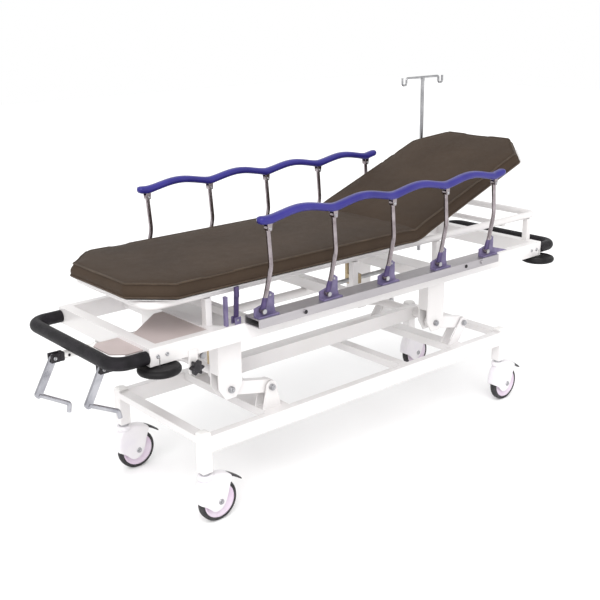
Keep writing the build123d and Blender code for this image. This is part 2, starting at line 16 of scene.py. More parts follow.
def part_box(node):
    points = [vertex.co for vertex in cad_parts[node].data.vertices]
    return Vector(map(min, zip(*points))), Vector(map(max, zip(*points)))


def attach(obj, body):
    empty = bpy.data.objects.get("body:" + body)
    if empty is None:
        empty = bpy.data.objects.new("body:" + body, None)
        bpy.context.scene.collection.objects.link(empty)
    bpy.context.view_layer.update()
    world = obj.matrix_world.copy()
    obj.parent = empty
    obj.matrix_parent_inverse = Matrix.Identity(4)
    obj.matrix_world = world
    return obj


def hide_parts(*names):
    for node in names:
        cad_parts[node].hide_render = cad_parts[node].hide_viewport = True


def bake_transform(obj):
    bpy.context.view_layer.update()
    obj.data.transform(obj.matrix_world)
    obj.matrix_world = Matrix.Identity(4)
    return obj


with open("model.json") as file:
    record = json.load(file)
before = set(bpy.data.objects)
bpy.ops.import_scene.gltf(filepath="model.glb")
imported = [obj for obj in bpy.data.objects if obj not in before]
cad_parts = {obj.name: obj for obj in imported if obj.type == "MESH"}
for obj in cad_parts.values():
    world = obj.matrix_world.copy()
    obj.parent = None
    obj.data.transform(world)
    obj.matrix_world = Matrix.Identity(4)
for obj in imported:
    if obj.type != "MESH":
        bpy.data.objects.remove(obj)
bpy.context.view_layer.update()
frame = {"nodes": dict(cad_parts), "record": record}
scene = bpy.context.scene
SIDES = (("near", -1), ("far", 1))
ENDS = ("foot", "head")


def mid(node):
    lo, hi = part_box(node)
    return (lo + hi) / 2


# ------------------------------------------------------------- materials
def link(nt, a, b):
    nt.links.new(a, b)


def node(nt, kind, **values):
    n = nt.nodes.new("ShaderNode" + kind)
    for key, value in values.items():
        if hasattr(n, key) and key not in n.inputs:
            setattr(n, key, value)
        else:
            n.inputs[key].default_value = value
    return n


def coords(nt, stretch=None, attribute=None):
    """Rest coordinates of the surface, in metres, optionally stretched."""
    if attribute:
        src = node(nt, "Attribute", attribute_name=attribute).outputs["Vector"]
    else:
        src = node(nt, "TexCoord").outputs["Object"]
    if stretch:
        m = node(nt, "Mapping")
        m.inputs["Scale"].default_value = stretch
        link(nt, src, m.inputs["Vector"])
        src = m.outputs["Vector"]
    return src


def noise_tex(nt, where, scale, detail=3.0, rough=0.55):
    n = node(nt, "TexNoise", Scale=scale, Detail=detail, Roughness=rough)
    link(nt, where, n.inputs["Vector"])
    return n.outputs["Fac"]


def ramp(nt, fac, stops):
    r = node(nt, "ValToRGB")
    els = r.color_ramp.elements
    while len(els) < len(stops):
        els.new(0.5)
    for el, (pos, col) in zip(els, stops):
        el.position = pos
        el.color = col if len(col) == 4 else (*col, 1)
    link(nt, fac, r.inputs["Fac"])
    return r.outputs["Color"]


def edge_mask(nt, radius):
    """0 on flats, rising towards 1 on edges sharper than radius."""
    b = node(nt, "Bevel", samples=4, Radius=radius)
    g = node(nt, "NewGeometry")
    d = node(nt, "VectorMath", operation="DOT_PRODUCT")
    link(nt, b.outputs["Normal"], d.inputs[0])
    link(nt, g.outputs["Normal"], d.inputs[1])
    m = node(nt, "MapRange")
    m.inputs["From Min"].default_value = 1.0
    m.inputs["From Max"].default_value = 0.8
    link(nt, d.outputs["Value"], m.inputs["Value"])
    return m.outputs["Result"]


def blend_colour(nt, fac, a, b):
    m = node(nt, "Mix", data_type="RGBA")
    link(nt, fac, m.inputs[0])
    for value, socket in ((a, m.inputs[6]), (b, m.inputs[7])):
        if isinstance(value, bpy.types.NodeSocket):
            link(nt, value, socket)
        else:
            socket.default_value = (*value, 1)
    return m.outputs[2]


def material(name, low, high, rough, metal=0.0, patch=7.0, spread=(0.35, 0.65), rough_var=0.05,
             bumps=(), coat=0.0, coat_rough=0.1, spec=0.5, edge=None, round_edge=0.0,
             attribute=None, stretch=None):
    """Principled surface with a mottled colour, uneven gloss and layered fine relief."""
    m = bpy.data.materials.new(name)
    m.use_nodes = True
    nt = m.node_tree
    nt.nodes.clear()
    out = node(nt, "OutputMaterial")
    p = node(nt, "BsdfPrincipled")
    link(nt, p.outputs[0], out.inputs[0])
    where = coords(nt, stretch, attribute)
    colour = ramp(nt, noise_tex(nt, where, patch), ((spread[0], low), (spread[1], high)))
    # Painted highlight: the edge colour is laid onto sharp edges and broken up by noise.
    if edge:
        highlight_colour, radius, amount = edge
        mask = edge_mask(nt, radius)
        broken = noise_tex(nt, where, 160.0, 4.0)
        mult = node(nt, "Math", operation="MULTIPLY")
        link(nt, mask, mult.inputs[0])
        link(nt, broken, mult.inputs[1])
        gain = node(nt, "Math", operation="MULTIPLY", use_clamp=True)
        gain.inputs[1].default_value = amount
        link(nt, mult.outputs[0], gain.inputs[0])
        colour = blend_colour(nt, gain.outputs[0], colour, highlight_colour)
    link(nt, colour, p.inputs["Base Color"])
    r = node(nt, "MapRange")
    r.inputs["To Min"].default_value = max(rough - rough_var, 0.02)
    r.inputs["To Max"].default_value = rough + rough_var
    link(nt, noise_tex(nt, where, patch * 9, 4.0), r.inputs["Value"])
    link(nt, r.outputs["Result"], p.inputs["Roughness"])
    p.inputs["Metallic"].default_value = metal
    p.inputs["IOR"].default_value = 1.5
    p.inputs["Specular IOR Level"].default_value = spec
    p.inputs["Coat Weight"].default_value = coat
    p.inputs["Coat Roughness"].default_value = coat_rough
    normal = None
    if round_edge:
        normal = node(nt, "Bevel", samples=6, Radius=round_edge).outputs["Normal"]
    for kind, scale, height, pull in bumps:
        at = coords(nt, pull, attribute)
        if kind == "cells":
            t = node(nt, "TexVoronoi", feature="DISTANCE_TO_EDGE", Scale=scale)
            link(nt, at, t.inputs["Vector"])
            t = ramp(nt, t.outputs["Distance"], ((0.0, (0, 0, 0)), (0.16, (1, 1, 1))))
        else:
            t = noise_tex(nt, at, scale, 3.0)
        b = node(nt, "Bump", Distance=height, Strength=1.0)
        link(nt, t, b.inputs["Height"])
        if normal:
            link(nt, normal, b.inputs["Normal"])
        normal = b.outputs["Normal"]
    if normal:
        link(nt, normal, p.inputs["Normal"])
    return m


PAINT_BUMP = (("noise", 520.0, 0.00006, None), ("noise", 24.0, 0.0004, None))
# Each edge entry is a lighter colour painted onto sharp edges as a highlight, then its bevel radius
# and strength.
MAT = {
    "frame_white": material("powder_white", (0.675, 0.655, 0.647), (0.725, 0.703, 0.705), 0.3,
                            patch=3.0, bumps=PAINT_BUMP, coat=0.35, coat_rough=0.12,
                            edge=((0.84, 0.82, 0.80), 0.002, 1.2), round_edge=0.0022),
    "cap_white": material("cap_white", (0.71, 0.70, 0.685), (0.76, 0.75, 0.735), 0.38, patch=14.0,
                          bumps=(("noise", 900.0, 0.00004, None),)),
    # The cover plate is a darker pinkish tan than the frame white: painted shade from the mattress
    # above it.
    "cover_tan": material("shaded_cover_plate", (0.40, 0.335, 0.32), (0.46, 0.39, 0.38), 0.42, patch=5.0,
                          bumps=PAINT_BUMP, round_edge=0.001),
    "steel_pin": material("turned_steel", (0.33, 0.33, 0.345), (0.46, 0.46, 0.475), 0.3, 1.0,
                          20.0, bumps=(("noise", 900.0, 0.00005, (1, 5, 1)),), round_edge=0.001),
    "castor_shell": material("castor_hood", (0.70, 0.67, 0.71), (0.75, 0.73, 0.74), 0.3,
                             patch=11.0, bumps=(("noise", 700.0, 0.00005, None),), coat=0.3,
                             edge=((0.8, 0.77, 0.8), 0.0015, 0.8)),
    "tyre_black": material("tyre_rubber", (0.012, 0.012, 0.013), (0.04, 0.038, 0.04), 0.62,
                           patch=60.0, spec=0.35, rough_var=0.12,
                           bumps=(("noise", 420.0, 0.0002, None),)),
    "wheel_core": material("wheel_centre", (0.62, 0.50, 0.62), (0.68, 0.60, 0.68), 0.34,
                           patch=18.0, bumps=(("noise", 600.0, 0.00005, None),), coat=0.2),
    "brake_black": material("pedal_plastic", (0.016, 0.014, 0.017), (0.035, 0.03, 0.035), 0.42,
                            patch=40.0, bumps=(("cells", 700.0, 0.0001, None),),
                            edge=((0.12, 0.11, 0.12), 0.001, 0.9)),
    "handle_black": material("grip_foam", (0.004, 0.0035, 0.0045), (0.011, 0.009, 0.012), 0.5,
                             patch=26.0, spec=0.2, rough_var=0.1,
                             bumps=(("cells", 900.0, 0.00018, None),
                                    ("noise", 60.0, 0.0005, None))),
    "bumper_black": material("bumper_rubber", (0.004, 0.0035, 0.004), (0.012, 0.011, 0.012), 0.52,
                             patch=34.0, spec=0.2, rough_var=0.1,
                             bumps=(("noise", 520.0, 0.00018, None),),
                             edge=((0.05, 0.047, 0.05), 0.0015, 0.7)),
    "knob_black": material("knob_plastic", (0.006, 0.005, 0.007), (0.018, 0.015, 0.019), 0.36,
                           patch=60.0, spec=0.35, bumps=(("cells", 800.0, 0.0001, None),)),
    "channel_grey": material("anodised_channel", (0.34, 0.325, 0.34), (0.43, 0.41, 0.425), 0.36,
                             0.85, 9.0, stretch=(0.2, 1, 1), round_edge=0.0012,
                             bumps=(("noise", 1400.0, 0.00006, (0.03, 1, 1)),)),
    "bracket_lilac": material("bracket_plastic", (0.095, 0.078, 0.165), (0.16, 0.13, 0.24), 0.42,
                              patch=30.0, bumps=(("noise", 640.0, 0.00006, None),),
                              edge=((0.30, 0.26, 0.42), 0.0012, 0.7), round_edge=0.0012),
    # The post plating is darkened and tinted mauve: painted reflection of darker surroundings.
    "post_chrome": material("post_plating_dark_reflection", (0.24, 0.205, 0.215), (0.36, 0.32, 0.335), 0.2, 1.0,
                            30.0, rough_var=0.05, bumps=(("noise", 300.0, 0.00006, None),)),
    "rail_blue": material("rail_moulding", (0.019, 0.016, 0.155), (0.030, 0.025, 0.20), 0.34,
                          patch=9.0, spec=0.25, coat=0.06, coat_rough=0.2,
                          bumps=(("noise", 480.0, 0.00012, None),
                                 ("noise", 40.0, 0.0004, None))),
    "latch_violet": material("latch_plastic", (0.040, 0.027, 0.085), (0.070, 0.048, 0.13), 0.4,
                             patch=40.0, spec=0.35, bumps=(("noise", 640.0, 0.00006, None),)),
    "screw_steel": material("screw_steel", (0.34, 0.34, 0.35), (0.5, 0.5, 0.5), 0.34, 1.0, 30.0,
                            bumps=(("noise", 900.0, 0.00008, (1, 1, 1)),), round_edge=0.001),
    "crank_chrome": material("crank_plating", (0.30, 0.30, 0.33), (0.44, 0.44, 0.47), 0.2, 1.0,
                             24.0, bumps=(("noise", 260.0, 0.00008, None),)),
    "nut_brass": material("nut_brass", (0.30, 0.235, 0.15), (0.40, 0.32, 0.20), 0.38, 1.0, 40.0,
                          bumps=(("noise", 700.0, 0.00008, None),), round_edge=0.0008),
    "mattress_cover": material("coated_cover", (0.038, 0.025, 0.0165), (0.054, 0.036, 0.024), 0.6,
                               patch=3.4, spread=(0.3, 0.72), rough_var=0.07, spec=0.12,
                               bumps=(("cells", 420.0, 0.00022, None),
                                      ("noise", 26.0, 0.0012, None)), attribute="flat"),
    "pole_chrome": material("pole_plating", (0.30, 0.30, 0.31), (0.42, 0.42, 0.43), 0.22, 1.0, 24.0,
                            bumps=(("noise", 500.0, 0.00006, (1, 1, 0.05)),)),
}
WELT = material("welt_cover", (0.050, 0.034, 0.023), (0.072, 0.050, 0.034), 0.5, patch=20.0,
                spec=0.2, bumps=(("cells", 600.0, 0.0002, None),), attribute="flat")
THREAD = material("seam_thread", (0.05, 0.04, 0.032), (0.075, 0.06, 0.05), 0.7, patch=60.0,
                  bumps=(("noise", 2200.0, 0.0001, None),), attribute="flat")


# ---------------------------------------------------------------- meshes
def make(name, verts, faces, body, slot, mat=None, replaces=(), bevel=0.0, sub=0, smooth=True,
         parts=2):
    """Mesh piece that rides on a body and wears a slot's material."""
    me = bpy.data.meshes.new(name)
    me.from_pydata([tuple(v) for v in verts], [], faces)
    o = bpy.data.objects.new(name, me)
    scene.collection.objects.link(o)
    bm = bmesh.new()
    bm.from_mesh(me)
    bmesh.ops.remove_doubles(bm, verts=bm.verts, dist=1e-6)
    bmesh.ops.recalc_face_normals(bm, faces=bm.faces)
    bm.to_mesh(me)
    bm.free()
    me.materials.append(mat or MAT[slot])
    for f in me.polygons:
        f.use_smooth = smooth
    if bevel:
        b = o.modifiers.new("bevel", "BEVEL")
        b.width = bevel
        b.segments = parts
        b.limit_method = "ANGLE"
        b.angle_limit = math.radians(32)
        b.harden_normals = False
        w = o.modifiers.new("weighted", "WEIGHTED_NORMAL")
        w.keep_sharp = True
    if sub:
        s = o.modifiers.new("subdivision", "SUBSURF")
        s.levels = sub
        s.render_levels = sub
    if body:
        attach(o, body)
    if replaces:
        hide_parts(*replaces)
    return o


def join(*pieces):
    """One (verts, faces) from several."""
    verts, faces = [], []
    for v, f in pieces:
        base = len(verts)
        verts += list(v)
        faces += [[i + base for i in face] for face in f]
    return verts, faces


def fillet_path(points, radius, step=0.006):
    """Polyline with its corners rounded to radius."""
    pts = [Vector(p) for p in points]
    out = [pts[0]]
    for a, b, c in zip(pts, pts[1:], pts[2:]):
        u, v = (a - b).normalized(), (c - b).normalized()
        half = u.angle(v) / 2
        cut = min(radius / math.tan(half), 0.48 * (a - b).length, 0.48 * (c - b).length)
        r = cut * math.tan(half)
        centre = b + (u + v).normalized() * (r / math.sin(half))
        p0, p1 = b + u * cut, b + v * cut
        n = max(2, math.ceil(r * (math.pi - 2 * half) / step))
        e0, e1 = p0 - centre, p1 - centre
        turn = e0.angle(e1)
        for i in range(n + 1):
            t = i / n
            s0 = math.sin((1 - t) * turn) / math.sin(turn)
            s1 = math.sin(t * turn) / math.sin(turn)
            out.append(centre + e0 * s0 + e1 * s1)
    out.append(pts[-1])
    return out


def resample(path, step):
    """Points about step apart along a path."""
    out = [path[0]]
    for a, b in zip(path, path[1:]):
        n = max(1, round((b - a).length / step))
        out += [a.lerp(b, (i + 1) / n) for i in range(n)]
    return out


def sweep(path, section, up=Vector((0, 0, 1)), closed=False, sizes=None):
    """Section points (side, up) carried along a path, capped unless closed."""
    verts, faces = [], []
    n, k = len(path), len(section)
    for i, p in enumerate(path):
        before = path[i - 1] if i or closed else p
        after = path[(i + 1) % n] if i < n - 1 or closed else p
        d = (after - before).normalized()
        side = d.cross(up)
        side = side.normalized() if side.length > 1e-6 else Vector((0, 1, 0))
        top = side.cross(d).normalized()
        scale = sizes[i] if sizes else 1.0
        verts += [p + side * (a * scale) + top * (b * scale) for a, b in section]
    for i in range(n if closed else n - 1):
        j = (i + 1) % n
        for q in range(k):
            r = (q + 1) % k
            faces.append([i * k + q, i * k + r, j * k + r, j * k + q])
    if not closed:
        faces.append(list(range(k)))
        faces.append(list(range((n - 1) * k, n * k))[::-1])
    return verts, faces


def ring(radius, n=28):
    """Round section for sweep."""
    return [(radius * math.cos(2 * math.pi * i / n), radius * math.sin(2 * math.pi * i / n))
            for i in range(n)]


def tube(path, radius, n=28, round_end=0.0):
    """Round bar along a path, its ends rounded off."""
    path = list(path)
    sizes = [1.0] * len(path)
    if round_end:
        d0, d1 = (path[1] - path[0]).normalized(), (path[-1] - path[-2]).normalized()
        steps = [math.radians(a) for a in (0, 25, 50, 72, 88)]
        head = [path[0] + d0 * round_end * (1 - math.sin(a)) for a in steps[::-1]]
        tail = [path[-1] - d1 * round_end * (1 - math.sin(a)) for a in steps]
        path = head + path[1:-1] + tail
        ends = [1 - round_end / radius * (1 - math.cos(a)) for a in steps]
        sizes = ends[::-1] + [1.0] * (len(path) - 10) + ends
    return sweep(path, ring(radius, n), sizes=sizes)


def lathe(profile, centre, axis, n=48):
    """Profile of (radius, height) turned about an axis through centre."""
    c = Vector(centre)
    verts, faces = [], []
    a, b = {"x": ((0, 1, 0), (0, 0, 1)), "y": ((1, 0, 0), (0, 0, 1)),
            "z": ((1, 0, 0), (0, 1, 0))}[axis]
    w = {"x": Vector((1, 0, 0)), "y": Vector((0, 1, 0)), "z": Vector((0, 0, 1))}[axis]
    a, b = Vector(a), Vector(b)
    for r, h in profile:
        for i in range(n):
            t = 2 * math.pi * i / n
            verts.append(c + w * h + (a * math.cos(t) + b * math.sin(t)) * max(r, 1e-5))
    m = len(profile)
    for i in range(m - 1):
        for q in range(n):
            s = (q + 1) % n
            faces.append([i * n + q, i * n + s, (i + 1) * n + s, (i + 1) * n + q])
    if profile[0] != profile[-1]:
        faces.append(list(range(n)))
        faces.append(list(range((m - 1) * n, m * n))[::-1])
    else:
        faces = [[v % ((m - 1) * n) if v >= (m - 1) * n else v for v in f] for f in faces]
    return verts, faces


def prism(outline, y0, y1):
    """Plate with an (x, z) outline between two y values."""
    n = len(outline)
    verts = [Vector((x, y, z)) for y in (y0, y1) for x, z in outline]
    faces = [list(range(n)), list(range(n, 2 * n))[::-1]]
    faces += [[i, (i + 1) % n, n + (i + 1) % n, n + i] for i in range(n)]
    return verts, faces


def round_outline(points, radius, step=0.002):
    """Closed outline with rounded corners; radius may be one per corner."""
    n = len(points)
    radii = radius if isinstance(radius, (list, tuple)) else [radius] * n
    out = []
    for i in range(n):
        a, b, c = (Vector((*points[j % n], 0)) for j in (i - 1, i, i + 1))
        part = fillet_path([a.lerp(b, 0.5), b, b.lerp(c, 0.5)], radii[i], step)
        out += [(p.x, p.y) for p in part[1:-1]]
    return out


def box_mesh(lo, hi):
    """Block between two corners."""
    x0, y0, z0 = lo
    x1, y1, z1 = hi
    verts = [(x, y, z) for x in (x0, x1) for y in (y0, y1) for z in (z0, z1)]
    return ([Vector(v) for v in verts],
            [[0, 1, 3, 2], [4, 6, 7, 5], [0, 4, 5, 1], [2, 3, 7, 6], [0, 2, 6, 4], [1, 5, 7, 3]])


def bolt(at, axis, radius, height, sense=1):
    """Domed hexagon-socket head on a surface, its top towards sense along the axis."""
    s = sense
    profile = [(0.0, 0.0), (radius, 0.0), (radius, s * height * 0.55),
               (radius * 0.86, s * height * 0.9), (radius * 0.5, s * height),
               (radius * 0.46, s * height * 0.45), (0.0, s * height * 0.45)]
    return lathe(profile, at, axis, 24)


# ----------------------------------------------------------- CAD nodes
slot_of = {s["node"]: s["material_slot"] for s in frame["record"]["subparts"]}
for name, obj in frame["nodes"].items():
    obj.data.materials.clear()
    obj.data.materials.append(MAT[slot_of[name]])
    for poly in obj.data.polygons:
        poly.material_index = 0

# -------------------------------------------------------------- mattress
FOLD = Vector((0.268, 0.0, 0.806))
REST_ANGLE = math.radians(20.5)
ZONE = 0.078
PAD_X0, PAD_X1, PAD_W, PAD_CUT = -0.963, 1.044, 0.305, 0.126
PAD_Z0, PAD_Z1 = 0.822, 0.880
PAD_INSET = 0.021
SHOULDER_Z = 0.851
TOP_BAND = 0.012
CROWN, END_TAPER = 0.007, 0.16
CREASE_DEPTH, CREASE_HALF = 0.004, 0.012
COVER_VOXEL, QUICK_VOXEL = 0.0085, 0.012
FILL_FRAMES, FILL_PRESSURE, FILL_CAP = 20, 4.0, 0.010
WELT_R, THREAD_R = 0.0034, 0.0007
STITCH_STEP = 0.012


def pad_outline(inset, corner=0.02):
    """Octagon-ended outline of the mattress, in plan, moved inwards by inset."""
    x0, x1, w = PAD_X0 + inset, PAD_X1 - inset, PAD_W - inset
    c = PAD_CUT - inset * 0.59
    pts = [(x0 + c, -w), (x1 - c, -w), (x1, -w + c), (x1, w - c), (x1 - c, w), (x0 + c, w),
           (x0, w - c), (x0, -w + c)]
    return round_outline(pts, corner, 0.004)


def bent(co):
    """Flat mattress coordinates carried to the raised rest position."""
    t = np.clip((co[:, 0] - (FOLD.x - ZONE)) / (2 * ZONE), 0, 1)
    angle = REST_ANGLE * t * t * (3 - 2 * t)
    x, z = co[:, 0] - FOLD.x, co[:, 2] - FOLD.z
    c, s = np.cos(angle), np.sin(angle)
    return np.column_stack([FOLD.x + x * c - z * s, co[:, 1], FOLD.z + x * s + z * c])


def finish_pad(o):
    """Stores the flat coordinates for the textures and bends the piece."""
    me = o.data
    co = np.zeros(len(me.vertices) * 3)
    me.vertices.foreach_get("co", co)
    co = co.reshape(-1, 3)
    at = me.attributes.new("flat", "FLOAT_VECTOR", "POINT")
    at.data.foreach_set("vector", co.astype(np.float32).ravel())
    me.vertices.foreach_set("co", bent(co).ravel())
    me.update()
    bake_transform(o)


def pad_body():
    """Closed shell of the unfilled cover, slightly under size."""
    rows = [(0.010, PAD_Z0 + 0.001), (0.004, PAD_Z0 + 0.005), (0.003, SHOULDER_Z),
            (PAD_INSET, PAD_Z1 - 0.008)]
    verts, faces = [], []
    for inset, z in rows:
        verts += [Vector((x, y, z)) for x, y in pad_outline(inset)]
    n = len(pad_outline(0.004))
    for i in range(len(rows) - 1):
        for q in range(n):
            s = (q + 1) % n
            faces.append([i * n + q, i * n + s, (i + 1) * n + s, (i + 1) * n + q])
    faces.append(list(range(n))[::-1])
    faces.append(list(range((len(rows) - 1) * n, len(rows) * n)))
    return verts, faces


def remesh(o, voxel):
    """Even mesh of voxel-sized faces."""
    bpy.context.view_layer.objects.active = o
    modifier = o.modifiers.new("remesh", "REMESH")
    modifier.mode = "VOXEL"
    modifier.voxel_size = voxel
    bpy.ops.object.modifier_apply(modifier="remesh")


def fill_cover(o, voxel, frames, pressure, cap):
    """Remeshes the cover and blows it up as cloth, with its movement capped."""
    remesh(o, voxel)
    start = np.zeros(len(o.data.vertices) * 3)
    o.data.vertices.foreach_get("co", start)
    c = o.modifiers.new("cloth", "CLOTH")
    st = c.settings
    st.quality = 5
    st.mass = 0.4
    st.tension_stiffness = 25
    st.compression_stiffness = 25
    st.shear_stiffness = 8
    st.bending_stiffness = 1.0
    st.use_pressure = True
    st.uniform_pressure_force = pressure
    st.effector_weights.gravity = 0.0
    c.collision_settings.use_self_collision = False
    c.point_cache.frame_start = 1
    c.point_cache.frame_end = frames
    for f in range(1, frames + 1):
        scene.frame_set(f)
    bpy.ops.object.modifier_apply(modifier="cloth")
    scene.frame_set(1)
    now = np.zeros_like(start)
    o.data.vertices.foreach_get("co", now)
    start, now = start.reshape(-1, 3), now.reshape(-1, 3)
    move = now - start
    size = np.linalg.norm(move, axis=1, keepdims=True)
    move *= np.minimum(1.0, cap / np.maximum(size, 1e-9))
    o.data.vertices.foreach_set("co", (start + move).ravel())
    o.data.update()


def settle(o):
    """Flattens what rests on the deck and keeps the pad inside its space."""
    co = np.zeros(len(o.data.vertices) * 3)
    o.data.vertices.foreach_get("co", co)
    co = co.reshape(-1, 3)
    co[:, 2] = np.maximum(co[:, 2], PAD_Z0)
    crown = 1 - np.clip(np.abs(co[:, 1]) / (PAD_W - PAD_INSET), 0, 1) ** 4
    ends = np.clip(np.minimum(co[:, 0] - PAD_X0, PAD_X1 - co[:, 0]) / END_TAPER, 0, 1)
    top = co[:, 2] > PAD_Z1 - TOP_BAND
    co[top, 2] = (PAD_Z1 - 0.008 + (co[top, 2] - PAD_Z1 + 0.008) * 0.35
                  + CROWN * (crown * ends)[top])
    crease = np.exp(-((co[:, 0] - FOLD.x) / CREASE_HALF) ** 2)
    co[top, 2] -= CREASE_DEPTH * crease[top]
    o.data.vertices.foreach_set("co", co.ravel())
    o.data.update()


cover = make("mattress_cover", *pad_body(), None, "mattress_cover",
             replaces=("mattress_seat", "mattress_back"))
fill_cover(cover, COVER_VOXEL, FILL_FRAMES, FILL_PRESSURE, FILL_CAP)
settle(cover)
for f in cover.data.polygons:
    f.use_smooth = True
skin = BVHTree.FromPolygons([v.co for v in cover.data.vertices],
                            [p.vertices[:] for p in cover.data.polygons])


def seam_loop(inset, z, lift):
    """Closed line round the cover, lifted off its skin."""
    points = [Vector((x, y, z)) for x, y in pad_outline(inset)]
    line = []
    for p in resample(points + [points[0]], STITCH_STEP)[:-1]:
        near, normal, _, _ = skin.find_nearest(p)
        line.append(near + normal * lift)
    return line


def sew_welt(name, inset, z):
    """Piped edge round the cover."""
    verts, faces = sweep(seam_loop(inset, z, 0.0009), ring(WELT_R, 10), closed=True)
    finish_pad(make(name, verts, faces, None, "mattress_cover", WELT))


def sew_stitches(inset, z):
    """Row of short raised stitches round the top."""
    line = seam_loop(inset, z, 0.0004)
    stitches = []
    for a, b in zip(line, line[1:]):
        if (b - a).length < 0.03:
            top = a.lerp(b, 0.5) + Vector((0, 0, 0.0003))
            stitches.append(sweep([a.lerp(b, 0.08), top, a.lerp(b, 0.62)], ring(THREAD_R, 6)))
    finish_pad(make("seam_stitches", *join(*stitches), None, "mattress_cover", THREAD))


smoother = cover.modifiers.new("subdivision", "SUBSURF")
smoother.levels = 1
smoother.render_levels = 1
bpy.context.view_layer.objects.active = cover
bpy.ops.object.modifier_apply(modifier="subdivision")
sew_welt("welt_upper", PAD_INSET - 0.001, PAD_Z1 - 0.006)
sew_welt("welt_lower", 0.006, PAD_Z0 + 0.006)
sew_stitches(PAD_INSET + 0.007, PAD_Z1 - 0.002)
finish_pad(cover)

# ------------------------------------------------------------ side rails
RAIL_POST_X = [-0.519 + 0.2835 * i for i in range(5)]
POST_Y = 0.358
RAIL_Z = 1.027
RISE = 0.019
RAIL_PIN_Z = 1.012
TAB_FROM_POST, TAB_THICKNESS = 0.0092, 0.0028


def rail_bottom(x):
    """Height of the underside of the scalloped rail at x."""
    first, last = RAIL_POST_X[0], RAIL_POST_X[-1]
    if x <= first:
        return RAIL_Z + 0.002 * (first - x) / 0.042
    if x >= last:
        return RAIL_Z + 0.010 * (x - last) / 0.061
    t = (x - first) / 0.2835 % 1.0
    return RAIL_Z + RISE * ((1 - math.cos(2 * math.pi * t)) / 2) ** 0.8


def rail_mesh(y):
    x0, x1 = RAIL_POST_X[0] - 0.042, RAIL_POST_X[-1] + 0.061
    n = 150
    section = [(math.copysign(abs(math.cos(a)) ** 0.8, math.cos(a)),
                math.copysign(abs(math.sin(a)) ** 0.8, math.sin(a)))
               for a in (2 * math.pi * i / 28 for i in range(28))]
    verts, faces = [], []
    for i in range(n + 1):
        x = x0 + (x1 - x0) * i / n
        to_post = min(abs(x - px) for px in RAIL_POST_X)
        flare = math.exp(-(to_post / 0.024) ** 2)
        low = rail_bottom(x) - 0.003 * flare
        high = rail_bottom(x) + 0.0265
        width = 0.0185 - 0.0015 * flare
        end = min(x - x0, x1 - x) / 0.017
        shrink = math.sqrt(max(1 - (1 - min(end, 1.0)) ** 2, 0.0)) if end < 1 else 1.0
        shrink = max(shrink, 0.05)
        cz, hz = (low + high) / 2, (high - low) / 2
        verts += [Vector((x, y + a * width * shrink, cz + b * hz * shrink)) for a, b in section]
    k = len(section)
    for i in range(n):
        for q in range(k):
            s = (q + 1) % k
            faces.append([i * k + q, i * k + s, (i + 1) * k + s, (i + 1) * k + q])
    faces.append(list(range(k)))
    faces.append(list(range(n * k, (n + 1) * k))[::-1])
    return verts, faces


def top_rail(side, s):
    """Wavy rail of one side, with the plated tabs that hold it on its posts."""
    y = s * POST_Y
    tabs, pins = [], []
    for x in RAIL_POST_X:
        for t in (-1, 1):
            y0 = y + t * TAB_FROM_POST
            tab = round_outline([(x - 0.0078, 1.0035), (x + 0.0078, 1.0035), (x + 0.0105, 1.031),
                                 (x - 0.0105, 1.031)], 0.0055)
            tabs.append(prism(tab, y0, y0 + t * TAB_THICKNESS))
            pins.append(bolt((x, y + t * 0.0118, RAIL_PIN_Z), "y", 0.0052, 0.0028, t))
    make(f"{side}_top_rail", *rail_mesh(y), f"{side}_rail", "rail_blue",
         replaces=(f"{side}_rail",))
    make(f"{side}_rail_tabs", *join(*tabs), f"{side}_rail", "post_chrome", bevel=0.0006)
    make(f"{side}_rail_pins", *join(*pins), f"{side}_rail", "steel_pin")


for side, s in SIDES:
    top_rail(side, s)

# -------------------------------------------------------------- castors
TRAIL = 0.045
TYRE_PROFILE = [(0.0615, -0.0135), (0.066, -0.0148), (0.0712, -0.0128), (0.0745, -0.0082),
                (0.075, 0.0), (0.0745, 0.0082), (0.0712, 0.0128), (0.066, 0.0148),
                (0.0615, 0.0135), (0.0612, 0.0), (0.0615, -0.0135)]
CORE_PROFILE = [(0.006, -0.017), (0.014, -0.0172), (0.0165, -0.0150), (0.020, -0.0118),
                (0.040, -0.0105), (0.052, -0.0108), (0.0555, -0.0135), (0.0612, -0.0135),
                (0.0612, 0.0135), (0.0555, 0.0135), (0.052, 0.0108), (0.040, 0.0105),
                (0.020, 0.0118), (0.0165, 0.0150), (0.014, 0.0172), (0.006, 0.017),
                (0.006, -0.017)]
COLLAR_PROFILE = [(0.0062, 0.166), (0.024, 0.166), (0.027, 0.170), (0.027, 0.181),
                  (0.025, 0.1855), (0.019, 0.1865), (0.0062, 0.1865)]
# Hood stations from the axle's x: over the tyre, and down beside the hub.
HOOD_OUTER = [(-0.081, 0.086), (-0.081, 0.104), (-0.079, 0.126), (-0.073, 0.150),
              (-0.058, 0.169), (-0.034, 0.177), (-0.008, 0.177), (0.018, 0.173), (0.038, 0.165),
              (0.050, 0.156)]
HOOD_INNER = [(-0.047, 0.066), (-0.037, 0.051), (-0.024, 0.041), (-0.010, 0.040), (0.002, 0.043),
              (0.012, 0.050), (0.020, 0.062), (0.028, 0.080), (0.034, 0.104), (0.040, 0.132)]
# Pedal stations: place along it, half width, half thickness.
PEDAL_STATIONS = ((-0.10, 0.0125, 0.0065), (0.12, 0.0150, 0.0085), (0.45, 0.0150, 0.0062),
                  (0.75, 0.0165, 0.0052), (0.95, 0.0172, 0.0048), (1.04, 0.0150, 0.0040))
PEDAL_LENGTH, PEDAL_DROP, PEDAL_Z = 0.066, 0.038, 0.160


def castor_wheel(key, axle):
    """Tyre and moulded centre."""
    body = "castor_wheel_" + key
    make("castor_tyre_" + key, *lathe(TYRE_PROFILE, axle, "y", 72), body, "tyre_black",
         replaces=("tyre_" + key,))
    make("castor_core_" + key, *lathe(CORE_PROFILE, axle, "y", 72), body, "wheel_core",
         replaces=("wheel_" + key,))


